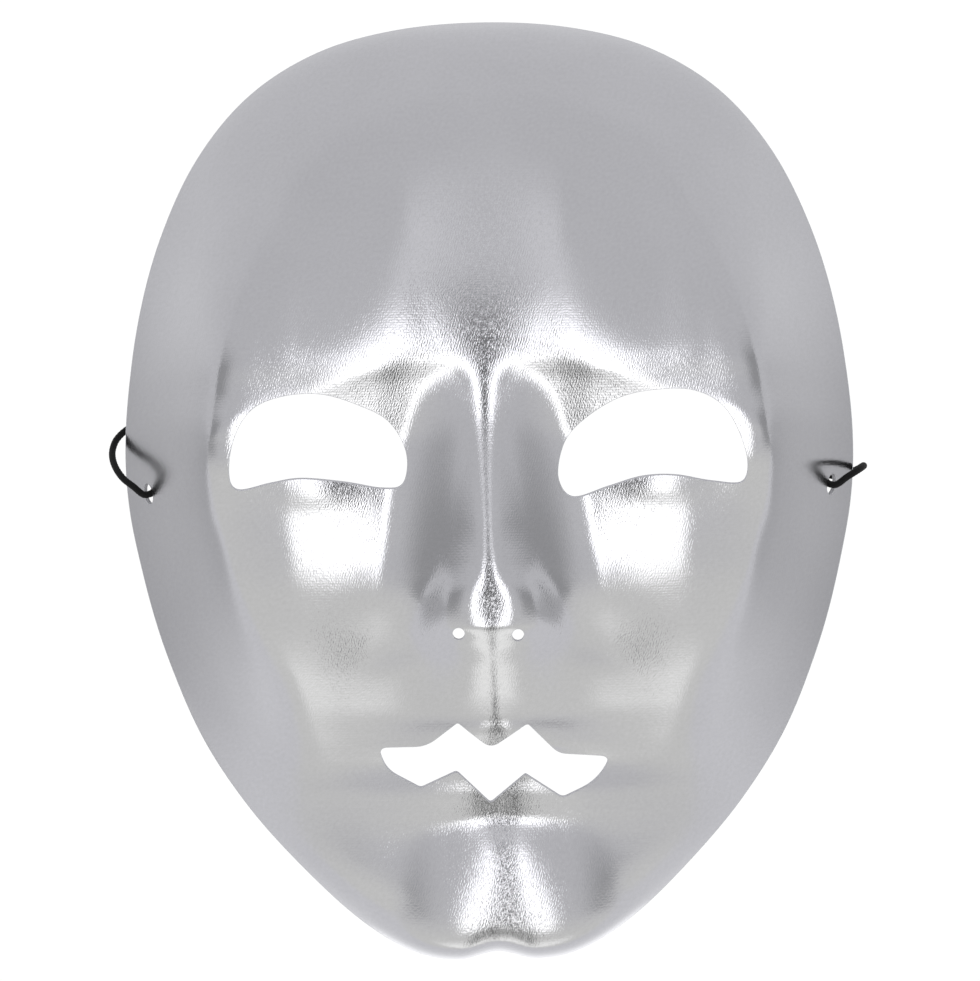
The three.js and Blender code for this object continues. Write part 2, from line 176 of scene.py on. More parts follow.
def fade(v, ends):
    none, full = ends
    return smooth((v - none) / (full - none))


def bell(u):
    return np.exp(-u * u)


def ramp(u, soft):
    """Starts softly: 0 well below u = 0, and u well above it."""
    return 0.5 * (u + np.hypot(u, soft))


def incline(u, length, soft, end_soft):
    """Starts softly at u = 0, rises with u, and levels out softly where u reaches the length."""
    return ramp(u, soft) - ramp(u - length, end_soft)


def swelling(x, y, form):
    across, upright = (x - form["x"]) / form["half_width"], (y - form["y"]) / form["half_height"]
    return form["height"] * bell(across) * bell(upright)


def through(pairs, place):
    """A smooth curve through (place, value) pairs that never overshoots them."""
    p = np.array(sorted(pairs), float)
    width = np.diff(p[:, 0])
    slope = np.diff(p[:, 1]) / width
    before, after = slope[:-1], slope[1:]
    level = before * after <= 0
    mean = 2 * before * after / np.where(level, 1, before + after)
    tangent = np.concatenate([[0], np.where(level, 0, mean), [0]])
    v = np.clip(place, p[0, 0], p[-1, 0])
    i = np.clip(np.searchsorted(p[:, 0], v) - 1, 0, len(width) - 1)
    u = (v - p[i, 0]) / width[i]
    line = p[i, 1] + (p[i + 1, 1] - p[i, 1]) * smooth(u)
    return line + width[i] * u * (1 - u) * ((1 - u) * tangent[i] - u * tangent[i + 1])


def smooth_loop(points, steps):
    """Points round a closed smooth curve through the given ones."""
    p = np.array(points, float)
    before, after, beyond = np.roll(p, 1, 0), np.roll(p, -1, 0), np.roll(p, -2, 0)
    u = (np.arange(steps) / steps)[None, :, None]
    a, b, c, d = (q[:, None] for q in (before, p, after, beyond))
    cubic = 2 * b + (c - a) * u + (2 * a - 5 * b + 4 * c - d) * u**2 + (3 * b - 3 * c + d - a) * u**3
    return (0.5 * cubic).reshape(-1, 2)


def rim_table():
    """The rim's angle from the top of the head and its distance from the middle of the face."""
    loop = smooth_loop(WHOLE_RIM, RIM_STEPS)
    angle = np.arctan2(loop[:, 0], loop[:, 1])
    order = np.argsort(angle)
    return angle[order], np.hypot(loop[:, 0], loop[:, 1])[order]


RIM_ANGLE, RIM_RADIUS = rim_table()


def rim_radius(x, y):
    return np.interp(np.arctan2(x, y), RIM_ANGLE, RIM_RADIUS, period=2 * math.pi)


def dome(share, sideways, y):
    soft = through(SIDE_BEND["soft"], y)

    def round_curve(u):
        return np.sqrt(1 - u**FOREHEAD_POWER)

    def bend(u):
        return ramp(u - SIDE_BEND["at"], soft)

    cut = round_curve(FOREHEAD_CUT)
    forehead = (round_curve(FOREHEAD_CUT * share) - cut) / (1 - cut)
    side = 1 - (bend(share) - bend(0)) / (bend(1) - bend(0))
    return forehead + (side - forehead) * fade(sideways, SIDEWAYS)


def rim_lift(x, y):
    chin = CHIN_RIM["lift"] * fade(y, CHIN_RIM["reach"])
    ear = EAR_RIM["lift"] * smooth(1 - np.abs(y - EAR_RIM["middle"]) / EAR_RIM["half"])
    return chin + np.where(np.abs(x) > EAR_RIM["out"], ear, 0)


def forehead_form(x, y):
    lean = FOREHEAD_LEAN["slope"] * ramp(y - FOREHEAD_LEAN["from"], FOREHEAD_LEAN["soft"])
    beside = 1 - bell(x / through(KEEL["width"], y))
    return -lean - KEEL["drop"] * beside * fade(y, KEEL["above"]) * fade(y, KEEL["below"])


def eye_hollow(x, y):
    above = y - through(BROW["crest"], x)
    under = incline(-above, BROW["hollow_end"], BROW["soft"], BROW["hollow_end_soft"])
    under = BROW["undercut"] * under * fade(y, BROW["hollow_low"])
    beside = smooth((x - through(NOSE["foot"], y)) / through(NOSE["foot_width"], y) + 1)
    lean = incline(above, BROW["lean_end"], BROW["soft"], BROW["lean_end_soft"])
    lean = BROW["lean"] * lean * fade(x, BROW["lean_from"]) * fade(x, BROW["lean_to"])
    return -lean - under * beside * fade(x, BROW["out"]) + swelling(x, y, LID)


def nose_form(x, y):
    across = np.exp(-((x / through(NOSE["half_width"], y)) ** through(NOSE["power"], y)))
    beyond, width = x - through(NOSE["ridge_from"], y), through(NOSE["ridge_width"], y)
    ridge = through(NOSE["ridge"], y) * incline(beyond, width, NOSE["ridge_soft"], NOSE["ridge_end_soft"])
    ridge = ridge * fade(y, NOSE["ridge_above"]) * fade(y, NOSE["ridge_below"])
    return through(NOSE["height"], y) * across - ridge


def cheek_form(x, y):
    turn = through(CHEEK["turn"], y) * ramp(x - through(CHEEK["from"], y), through(CHEEK["soft"], y))
    outer = CHEEK["outer_turn"] * ramp(x - CHEEK["outer_from"], CHEEK["outer_soft"])
    return swelling(x, y, CHEEK) + swelling(x, y, FOLD) - turn - outer * fade(y, CHEEK["outer_below"])


def lips_form(x, y):
    fall = incline(JAW_FALL["from"] - y, JAW_FALL["length"], JAW_FALL["from_soft"], JAW_FALL["end_soft"])
    return through(LIPS["height"], y) * bell(x / through(LIPS["half_width"], y)) - JAW_FALL["slope"] * fall


def chin_boss(x, y):
    v = np.abs(y - CHIN["y"])
    crown = x * x / (2 * CHIN["crown_across"]) + v * v / (2 * CHIN["crown_upright"])
    flank = incline(x - CHIN["flank_from"], CHIN["flank_width"], CHIN["flank_soft"], CHIN["flank_soft"])
    ends = (v / CHIN["half_height"]) ** CHIN["end_power_upright"]
    ends = ends + (x / CHIN["half_width"]) ** CHIN["end_power_across"]
    return CHIN["top"] - crown - through(CHIN["flank"], y) * flank - ends


def height(plan_x, y):
    """Height of the mask's front over the table."""
    r = np.hypot(plan_x, y)
    share = np.minimum(r / rim_radius(plan_x, y), 1)
    x = np.abs(plan_x - through(MIDDLE, y))
    features = forehead_form(x, y) + eye_hollow(x, y) + nose_form(x, y) + cheek_form(x, y) + lips_form(x, y)
    base = FRONT_HEIGHT * dome(share, np.abs(plan_x) / np.maximum(r, LEAST_RADIUS), y)
    base = base + rim_lift(x, y) * fade(share, RIM_LIFT_REACH) + features * (1 - share**FEATURES_END_POWER)
    return base + ramp(chin_boss(x, y) - base, CHIN["blend"]) * (1 - share**CHIN_END_POWER)


# Openings in the sheet
LEFT_EYE = [
    (-63.3, 5), (-61.8, 13.9), (-57.4, 20.6), (-50, 23.6), (-40.8, 24), (-31.9, 21.3), (-24.3, 17.1),
    (-20.2, 9.6), (-21, 2), (-26.1, 0.9), (-35, 2.5), (-45.7, 3.6), (-53.1, 2.6), (-61.2, 1.1),
]
RIGHT_EYE = [
    (16.6, 3), (18.3, 11.4), (23.2, 16.9), (31.4, 21.8), (40.3, 23.7), (50, 23.4), (57.6, 18.8), (62.2, 8.6),
    (61.6, 1.2), (53.8, 1.3), (45, 2.9), (36.9, 2.7), (28.7, 0.4), (20, -2),
]
MOUTH = [  # x, y and the rounding of each corner
    (-28.4, -62.5, 2.2), (-16.6, -62.1, 3), (-8.8, -56.1, 0.5), (-0.9, -62.4, 2.4), (8.1, -56.5, 0.8),
    (15.6, -64.3, 2), (28.6, -65.6, 2.8), (24.8, -71.6, 4), (16.4, -75.3, 1), (7.4, -69.2, 0.4),
    (-1.2, -76.2, 0.8), (-9.3, -68.3, 0.8), (-18.2, -72.4, 0.8), (-26.6, -68, 3),
]
NOSTRILS = [(-8.1, -34.2), (6.1, -34.7)]
NOSTRIL_RADIUS = 1.45
LEFT_CORD_HOLE = (-85.8, 0.6)
RIGHT_CORD_HOLE = (85.8, 0.1)
CORD_HOLE_RADIUS = 2.6

# Mesh of the shell
OUTLINE_STEPS = 8  # between two points of a smooth outline, and round a corner
RIM_EDGE_STEP = 0.9
EYE_STEP = 0.7
MOUTH_STEP = 0.35
ROUND_HOLE_POINTS = 40
SLOPE_STEP = 0.3
CHAMFER = 0.12  # at both edges of a cut
TRIM_SLANT = 0.3  # how much further up the face an opening is trimmed at the back
EDGE_CLEARANCE = 0.6  # of a grid's step, from its points to the outlines
SAME_PLACE = 1e-7  # distance at which two points count as one
CLOTH, PLASTIC, CUT_EDGE = 0, 1, 2  # the shell's material slots


def normals(p):
    (x, y), d = p.T, SLOPE_STEP / 2
    across = (height(x + d, y) - height(x - d, y)) / SLOPE_STEP
    upright = (height(x, y + d) - height(x, y - d)) / SLOPE_STEP
    n = np.stack([-across, -upright, np.ones(len(p))], 1)
    return n / np.linalg.norm(n, axis=1, keepdims=True)


def on_face(p):
    return np.column_stack([p, height(*p.T)])


def behind(p, wall):
    """Points on the sheet's back, a wall's thickness behind its face and no lower than the rim."""
    back = height(*p.T) - wall / normals(p)[:, 2]
    return np.column_stack([p, np.maximum(back, rim_lift(*p.T))])


def to_row(points_mm):
    """From the form's millimetres to the row frame's metres."""
    return (np.asarray(points_mm, float) + (0, EYE_LINE_Y, 0)) * MM


def even(loop, step):
    """A closed loop again, with points about step apart."""
    closed = np.vstack([loop, loop[:1]])
    along = np.concatenate([[0], np.cumsum(np.linalg.norm(np.diff(closed, axis=0), axis=1))])
    at = np.linspace(0, along[-1], round(along[-1] / step), endpoint=False)
    return np.stack([np.interp(at, along, closed[:, k]) for k in (0, 1)], 1)


def left_turn(first, second):
    """Above 0 where the second step lies to the left of the first, seen from above."""
    return first[:, 0] * second[:, 1] - first[:, 1] * second[:, 0]


def turned(loop, clockwise):
    """The loop in the wanted direction, seen from above."""
    area = left_turn(loop, np.roll(loop, -1, 0)).sum()
    return loop[::-1] if (area < 0) != clockwise else loop


def rounded_outline(corners):
    """A closed outline of straight runs with rounded corners."""
    points = []
    for i, (x, y, rounding) in enumerate(corners):
        corner = np.array([x, y], float)
        ends = []
        for other in (corners[i - 1], corners[(i + 1) % len(corners)]):
            way = np.array(other[:2]) - corner
            ends.append(corner + way / np.linalg.norm(way) * rounding)
        u = np.linspace(0, 1, OUTLINE_STEPS + 1)[:, None]
        points.append((1 - u) ** 2 * ends[0] + 2 * u * (1 - u) * corner + u**2 * ends[1])
    return np.vstack(points)


def round_hole(at, radius, across=(1, 0, 0), other=(0, 1, 0)):
    """The plan of a round hole that lies in the plane of two unit steps."""
    turn = np.linspace(0, 2 * math.pi, ROUND_HOLE_POINTS, endpoint=False)[:, None]
    return np.array(at) + radius * (np.cos(turn) * across + np.sin(turn) * other)[:, :2]


def drilled_hole(at, radius):
    """The plan of a hole drilled square to the sheet."""
    n = normals(np.array([at], float))[0]
    across = np.cross(n, (0, 0, 1))
    across /= np.linalg.norm(across)
    return round_hole(at, radius, across, np.cross(n, across))


def openings():
    """The trimmed outlines of the eyes, the mouth and the nostrils, and the drilled ones for the cord."""
    eyes = [even(smooth_loop(eye, OUTLINE_STEPS), EYE_STEP) for eye in (LEFT_EYE, RIGHT_EYE)]
    mouth = even(rounded_outline(MOUTH), MOUTH_STEP)
    nostrils = [round_hole(at, NOSTRIL_RADIUS) for at in NOSTRILS]
    drilled = [drilled_hole(at, CORD_HOLE_RADIUS) for at in (LEFT_CORD_HOLE, RIGHT_CORD_HOLE)]
    trimmed = [turned(loop, clockwise=True) for loop in (*eyes, mouth, *nostrils)]
    return trimmed, [turned(loop, clockwise=True) for loop in drilled]


def into_sheet(loop):
    """Unit steps from a loop's points into the material, which is on its left."""
    way = np.roll(loop, -1, 0) - np.roll(loop, 1, 0)
    way /= np.linalg.norm(way, axis=1, keepdims=True)
    return np.column_stack([-way[:, 1], way[:, 0]])


def cut_rings(loop, wall):
    """The edge of a hole drilled square to the sheet: rings of points from its front to its back."""
    inward, n = into_sheet(loop), normals(loop)
    profile = [(CHAMFER, 0), (0, CHAMFER), (0, wall - CHAMFER), (CHAMFER, wall)]
    return [on_face(loop + inset * inward) - depth * n for inset, depth in profile]


def trimmed_rings(loop, wall):
    """The edge of an opening trimmed upright, a little aslant: rings from its front to its back."""
    inward, aslant = into_sheet(loop), loop + (0, TRIM_SLANT)
    front, back = on_face(loop + CHAMFER * inward), behind(aslant + CHAMFER * inward, wall)
    return [front, on_face(loop) - (0, 0, CHAMFER), behind(aslant, wall) + (0, 0, CHAMFER), back]


def rim_rings(loop, wall):
    """The rim: rings of points from its front to its back, with a flat foot between them."""
    inward = into_sheet(loop)
    foot = rim_lift(*loop.T)
    front = on_face(loop + CHAMFER * inward)
    edge = np.column_stack([loop, foot + CHAMFER])
    outer = np.column_stack([loop + CHAMFER * inward, foot])
    inner = np.column_stack([loop + wall * inward, foot])
    return [front, edge, outer, inner]


def within(loops, points):
    """Which points lie inside the first loop and outside the others, which are holes in it."""
    found = np.zeros(len(points), bool)
    x, y = points.T
    for loop in loops:
        for (ax, ay), (bx, by) in zip(loop, np.roll(loop, -1, 0)):
            if ay != by:
                crosses = (ay > y) != (by > y)
                found ^= crosses & (x < (bx - ax) * (y - ay) / (by - ay) + ax)
    return found


def lattice(loops, step):
    """A field of points a step apart, inside the first loop and clear of all of them."""
    low, high = loops[0].min(0), loops[0].max(0)
    rows = np.arange(low[1], high[1], step * math.sqrt(3) / 2)
    columns = np.arange(low[0], high[0], step)
    shift = (np.arange(len(rows)) % 2) * step / 2
    field = np.stack([(columns[None] + shift[:, None]).ravel(), np.repeat(rows, len(columns))], 1)
    field = field[within(loops, field)]
    edge = np.vstack(loops)
    tree = KDTree(len(edge))
    for i, (x, y) in enumerate(edge):
        tree.insert((x, y, 0), i)
    tree.balance()
    clear = [tree.find((x, y, 0))[2] > EDGE_CLEARANCE * step for x, y in field]
    return field[clear]


def triangles_between(loops, field):
    """Triangles over the loops' points and the field's, as indices in that order."""
    points = np.vstack([*loops, field])
    edges, start = [], 0
    for loop in loops:
        edges += [(start + i, start + (i + 1) % len(loop)) for i in range(len(loop))]
        start += len(loop)
    made, _, faces, origin, _, _ = delaunay_2d_cdt([Vector(p) for p in points], edges, [], 0, SAME_PLACE)
    if len(made) != len(points) or any(len(o) != 1 for o in origin):
        raise RuntimeError("the sheet's outlines cross or touch")
    faces = np.array([o[0] for o in origin])[np.array(faces)]
    a, b, c = (points[faces[:, k]] for k in range(3))
    wrong = left_turn(b - a, c - a) < 0
    faces[wrong] = faces[wrong][:, ::-1]
    return faces[within(loops, (a + b + c) / 3)]


class Sheet:
    """Gathers one mesh's points and faces, each face's material slot, and the edges that stay sharp."""

    def __init__(self):
        self.points, self.faces, self.slots, self.sharp = [], [], [], []

    def add(self, points):
        """Adds points and gives their numbers."""
        start = sum(map(len, self.points))
        self.points.append(points)
        return np.arange(start, start + len(points))

    def cover(self, faces, slot):
        self.faces += faces.tolist()
        self.slots += [slot] * len(faces)

    def band(self, upper, lower, slot):
        """A closed band of faces between two rings."""
        self.cover(np.column_stack([upper, lower, np.roll(lower, -1), np.roll(upper, -1)]), slot)

    def keep_sharp(self, ring):
        self.sharp += np.column_stack([ring, np.roll(ring, -1)]).tolist()

    def mesh(self, name):
        mesh = bpy.data.meshes.new(name)
        mesh.from_pydata(to_row(np.vstack(self.points)).tolist(), [], self.faces)
        mesh.polygons.foreach_set("material_index", self.slots)
        mesh.shade_smooth()
        sharp = {frozenset(ends) for ends in self.sharp}
        for edge in mesh.edges:
            edge.use_edge_sharp = frozenset(edge.vertices) in sharp
        mesh.validate()
        return mesh


def shell_mesh(wall, front_step, back_step):
    """The whole shell as one closed skin: front, cut edges, rim and back."""
    rim = turned(even(smooth_loop(WHOLE_RIM, OUTLINE_STEPS), RIM_EDGE_STEP), clockwise=False)
    trimmed, drilled = openings()
    rings = [rim_rings(rim, wall)] + [trimmed_rings(loop, wall) for loop in trimmed]
    rings += [cut_rings(loop, wall) for loop in drilled]
    sheet = Sheet()
    numbers = [[sheet.add(ring) for ring in edge] for edge in rings]
    for edge in numbers:
        for upper, lower in zip(edge, edge[1:]):
            sheet.band(upper, lower, CUT_EDGE)
        for ring in edge:
            sheet.keep_sharp(ring)
    for side, step in ((0, front_step), (-1, back_step)):
        loops = [edge[side][:, :2] for edge in rings]
        field = lattice(loops, step)
        surface = behind(field, wall) if side else on_face(field)
        at = np.concatenate([*(edge[side] for edge in numbers), sheet.add(surface)])
        faces = at[triangles_between(loops, field)]
        sheet.cover(faces[:, ::-1] if side else faces, PLASTIC if side else CLOTH)
    return sheet.mesh("mask_sheet")


def link(name, mesh):
    """A new object in the scene, at the origin."""
    made = bpy.data.objects.new(name, mesh)
    bpy.context.scene.collection.objects.link(made)
    return made


# Nodes. The Mix node's colour sockets go by number, because other kinds of values have the same names.
MIX_SHARE, MIX_FIRST, MIX_SECOND, MIX_RESULT = 0, 6, 7, 2


class Socket:
    """A node's output, with the arithmetic of a formula."""

    def __init__(self, graph, socket):
        self.graph, self.socket = graph, socket

    def _math(self, operation, *values):
        return self.graph.node("ShaderNodeMath", {"operation": operation}, dict(enumerate(values)))

    def __add__(self, other):
        return self._math("ADD", self, other)

    __radd__ = __add__

    def __sub__(self, other):
        return self._math("SUBTRACT", self, other)

    def __rsub__(self, other):
        return self._math("SUBTRACT", other, self)

    def __mul__(self, other):
        return self._math("MULTIPLY", self, other)

    __rmul__ = __mul__

    def __truediv__(self, other):
        return self._math("DIVIDE", self, other)

    def __abs__(self):
        return self._math("ABSOLUTE", self)

    def sine(self):
        return self._math("SINE", self)

    def arc_sine(self):
        return self._math("ARCSINE", self)

    def angle(self, other):
        return self._math("ARCTAN2", self, other)

    def fade(self, none, full):
        """0 at the first value, 1 at the second, smooth between."""
        values = {"Value": self, "From Min": none, "From Max": full}
        return self.graph.node("ShaderNodeMapRange", {"interpolation_type": "SMOOTHSTEP"}, values)

    def split(self):
        """A vector's x, y and z."""
        node = self.graph.node("ShaderNodeSeparateXYZ", {}, {"Vector": self}).socket.node
        return [Socket(self.graph, part) for part in node.outputs]


class Graph:
    """Adds nodes to a node tree."""

    def __init__(self, tree):
        self.tree = tree

    def node(self, kind, settings=None, values=None, out=0):
        """A new node's output. Its settings are set first, then its sockets get their values or links."""
        made = self.tree.nodes.new(kind)
        for name, value in (settings or {}).items():
            setattr(made, name, value)
        for name, value in (values or {}).items():
            if isinstance(value, Socket):
                self.tree.links.new(value.socket, made.inputs[name])
            else:
                made.inputs[name].default_value = value
        return Socket(self, made.outputs[out]) if len(made.outputs) else None


def new_material(name):
    """An empty material and the graph that fills it."""
    material = bpy.data.materials.new(name)
    material.use_nodes = True
    material.node_tree.nodes.clear()
    return material, Graph(material.node_tree)


def coordinates(graph, kind="Object"):
    return graph.node("ShaderNodeTexCoord", out=kind)


def noise(graph, vector, scale, detail):
    """Even noise from -0.5 to 0.5."""
    values = {"Vector": vector, "Scale": scale, "Detail": detail}
    return graph.node("ShaderNodeTexNoise", {}, values, out="Fac") - 0.5


def relief(graph, height_map, distance=1.0):
    """The normal of a surface that stands out by the height times the distance, in metres."""
    return graph.node("ShaderNodeBump", {}, {"Strength": 1.0, "Distance": distance, "Height": height_map})


def mix_colour(graph, share, first, second):
    """The first colour where the share is 0, the second where it is 1."""
    first, second = (c if isinstance(c, Socket) else (*c, 1) for c in (first, second))
    values = {MIX_SHARE: share, MIX_FIRST: first, MIX_SECOND: second}
    return graph.node("ShaderNodeMix", {"data_type": "RGBA"}, values, out=MIX_RESULT)


def toned(graph, light, colour, dark_share):
    """The colour where the light is 1, and a share of it where the light is 0. The braid's is painted shade.
    """
    return mix_colour(graph, light, tuple(dark_share * c for c in colour), tuple(colour))


def finish_surface(graph, values):
    shader = graph.node("ShaderNodeBsdfPrincipled", {}, values)
    graph.node("ShaderNodeOutputMaterial", {}, {"Surface": shader})


# Materials. A pair of numbers for a noise is its scale, in features to a metre, and its detail. A dark share
# is how much of the colour is left where a surface is darkest.
DARK_SHARE = 0.9
CLOTH_WANDER = (60.0, 2.0)
CLOTH_RIPPLE = (150.0, 2.0)
CLOTH_TONE = (40.0, 3.0)
SLUBS_TO_A_THREAD = 1.4
SLUB_STRETCH = (1.4, 0.7, 1)
SPECKS_TO_A_THREAD = 0.7
THREAD_DETAIL = 1.0

# Where the cloth changes, in metres, and by how much: it lies looser over the mouth and the chin, rougher and
# more slubbed, and it is rougher on the side walls
LOOSE_CLOTH = {"y": (-0.018, -0.045), "rougher": 0.03, "more_slubs": 0.6}
SIDE_CLOTH = {"x": (0.07, 0.09), "rougher": 0.1}

PLASTIC_MOTTLE = (220.0, 3.0)
PLASTIC_MOTTLE_HEIGHT = 0.00003
PLASTIC_TONE = (60.0, 2.0)
ELASTIC_FIBRE = (9000.0, 2.0)
ELASTIC_FIBRE_HEIGHT = 0.00004
# Painted shade on the braid: the yarn keeps this share of its colour in the grooves between the diamonds, and
# all of it on their crowns
ELASTIC_GROOVE_SHADE_SHARE = 0.4
# The crown raises the braid's diamonds and also sets the yarn's painted shade
CROWN_ATTRIBUTE = "ridge"  # kept on the braid's mesh, from 0 between the diamonds to 1 on their crowns


def silver_cloth(cloth):
    """Metallised plain weave: threads a pitch apart, laid a little askew and uneven along their length."""
    material, graph = new_material("silver_cloth")
    whole = coordinates(graph)
    x, y, _ = whole.split()
    wander = noise(graph, whole, *CLOTH_WANDER) * cloth.pitch
    across = x - y * cloth.skew + wander
    warp = (across * (math.pi / cloth.pitch)).sine()
    weft = ((y + wander) * (math.pi / cloth.pitch)).sine()
    pillow = abs(warp * weft)
    skewed = graph.node("ShaderNodeCombineXYZ", {}, {"X": across, "Y": y})
    stretched = graph.node("ShaderNodeVectorMath", {"operation": "MULTIPLY"}, {0: skewed, 1: SLUB_STRETCH})
    slub = noise(graph, stretched, SLUBS_TO_A_THREAD / cloth.pitch, THREAD_DETAIL)
    speck = noise(graph, skewed, SPECKS_TO_A_THREAD / cloth.pitch, THREAD_DETAIL)
    ripple = noise(graph, whole, *CLOTH_RIPPLE)
    lower = y.fade(*LOOSE_CLOTH["y"])
    side = abs(x).fade(*SIDE_CLOTH["x"])
    slub_height = (lower * LOOSE_CLOTH["more_slubs"] + 1) * cloth.slub_height
    weave = pillow * cloth.thread_height + slub * slub_height + ripple * cloth.ripple_height
    rougher = lower * LOOSE_CLOTH["rougher"] + side * SIDE_CLOTH["rougher"]
    tone = noise(graph, whole, *CLOTH_TONE) + speck + 0.5
    finish_surface(graph, {
        "Base Color": toned(graph, tone, cloth.silver, DARK_SHARE),
        "Metallic": 1.0,
        "Roughness": rougher + cloth.roughness,
        "Normal": relief(graph, weave),
    })
    return material


def moulded_plastic(name, colour, roughness):
    """Thin moulded sheet, faintly mottled by the mould."""
    material, graph = new_material(name)
    whole = coordinates(graph)
    tone = noise(graph, whole, *PLASTIC_TONE) + 0.5
    finish_surface(graph, {
        "Base Color": toned(graph, tone, colour, DARK_SHARE),
        "Roughness": roughness,
        "Normal": relief(graph, noise(graph, whole, *PLASTIC_MOTTLE), PLASTIC_MOTTLE_HEIGHT),
    })
    return material


def braided_elastic(cord):
    """Matt black yarn, lighter on the crowns of the braid: painted shade darkens it between the diamonds."""
    material, graph = new_material("black_elastic")
    crown = graph.node("ShaderNodeAttribute", {"attribute_name": CROWN_ATTRIBUTE}, out="Fac")
    fibre = noise(graph, coordinates(graph), *ELASTIC_FIBRE)
    finish_surface(graph, {
        # painted shade: the yarn's colour falls to a share of itself between the braid's diamonds
        "Base Color": toned(graph, crown, cord.colour, ELASTIC_GROOVE_SHADE_SHARE),
        "Roughness": 0.85,
        "Specular IOR Level": 0.15,
        "Sheen Weight": 0.05,
        "Sheen Roughness": 0.5,
        "Normal": relief(graph, fibre, ELASTIC_FIBRE_HEIGHT),
    })
    return material


# The cord's route, in the form's millimetres: out of the left hole and round the rim, loosely over the table
# through the hollow, and round the other rim to the right hole
CORD_DIAMETER = 0.0018
CORD_OUT = 0.001  # how far it comes straight out of a hole, in metres
TABLE_GAP = 0.05  # between the table and the cord on it
FROM_LEFT_HOLE = [
    (-89.4, 2.6, 15.2), (-91.7, 4.4, 14.2), (-93.7, 6.9, 11.8), (-94.9, 9.6, 8.6),
    (-95.1, 12.1, 5.4), (-94.2, 14.6, 3.2), (-91.8, 17, 1.4),
]
OVER_TABLE = [
    (-87.6, 19.2), (-82.5, 22.5), (-76.5, 31), (-70.5, 42), (-60, 51.5), (-46, 54), (-32, 51),
    (-18, 50.5), (-4, 55), (10, 62), (25, 66), (40, 64), (53.5, 56.5), (63.5, 45),
    (70.5, 31.5), (75.5, 18.5), (80, 8), (85.3, 2.6),
]
TO_RIGHT_HOLE = [
    (89.6, 2.5, 1.3), (92.8, 3.7, 3.2), (94.2, 4.6, 6.6), (93.9, 4.4, 10.6),
    (92.2, 3.4, 14), (89.6, 1.9, 15.2),
]

# The knots are a cut trefoil, whose cut ends are the cord's way in and the start of its short end. Its turns
# go round once from 0 to 1, and its size and its tail are in cord diameters.
KNOT_SINK = 0.0047  # how deep the knot's middle lies behind the sheet's face, in metres
KNOT_ENTRY = 0.0036  # where the cord reaches the knot, above its middle
KNOT = {
    "turns": (0.26875, 1.19375), "points": 38, "size": 0.62,
    "tail_turn": 1.20625, "tail": (0.8213, 0.5867, -0.704),
}

# The braided tube: its tree's name and its inputs
BRAID_TREE = "braided_tube"
BRAID_INPUTS = {
    "Path": "NodeSocketGeometry", "Diameter": "NodeSocketFloat", "Diamond length": "NodeSocketFloat",
    "Ridge": "NodeSocketFloat", "Diamonds round": "NodeSocketInt", "Sides": "NodeSocketInt",
    "Finish": "NodeSocketMaterial",
}


def captured(graph, geometry, name, value):
    """The geometry with a value kept at its points, and that value."""
    node = graph.tree.nodes.new("GeometryNodeCaptureAttribute")
    node.capture_items.new("FLOAT", name)
    for given, socket in zip((geometry, value), node.inputs):
        graph.tree.links.new(given.socket, socket)
    return Socket(graph, node.outputs[0]), Socket(graph, node.outputs[1])


def braided_tube_tree():
    """Geometry Nodes that lay a braided tube along a curve."""
    tree = bpy.data.node_groups.new(BRAID_TREE, "GeometryNodeTree")
    for name, kind in BRAID_INPUTS.items():
        tree.interface.new_socket(name=name, in_out="INPUT", socket_type=kind)
    tree.interface.new_socket(name="Tube", in_out="OUTPUT", socket_type="NodeSocketGeometry")
    graph = Graph(tree)
    given = tree.nodes.new("NodeGroupInput").outputs
    inputs = [Socket(graph, given[name]) for name in BRAID_INPUTS]
    path, diameter, length, ridge, count, sides, finish = inputs
    line, along = captured(graph, path, "Along", graph.node("GeometryNodeSplineParameter", out="Length"))
    section = graph.node("GeometryNodeCurvePrimitiveCircle", {}, {
        "Resolution": sides, "Radius": diameter * 0.5 - ridge,
    })
    section, place = captured(graph, section, "Round", graph.node("GeometryNodeInputIndex"))
    tube = graph.node("GeometryNodeCurveToMesh", {}, {
        "Curve": line, "Profile Curve": section, "Fill Caps": True,
    })
    turn = place / sides * count
    climb = along / length
    crown = abs(((turn + climb) * math.pi).sine() * ((turn - climb) * math.pi).sine())
    out = graph.node("ShaderNodeVectorMath", {"operation": "SCALE"}, {
        0: graph.node("GeometryNodeInputNormal"), "Scale": crown * ridge,
    })
    raised = graph.node("GeometryNodeSetPosition", {}, {"Geometry": tube, "Offset": out})
    # the crown is kept on the mesh for the yarn's painted shade between the diamonds
    named = graph.node("GeometryNodeStoreNamedAttribute", {"data_type": "FLOAT", "domain": "POINT"}, {
        "Geometry": raised, "Name": CROWN_ATTRIBUTE, "Value": crown,
    })
    whole = graph.node("GeometryNodeRealizeInstances", {}, {"Geometry": named})
    done = graph.node("GeometryNodeSetMaterial", {}, {"Geometry": whole, "Material": finish})
    graph.node("NodeGroupOutput", {}, {"Tube": done})
    return tree


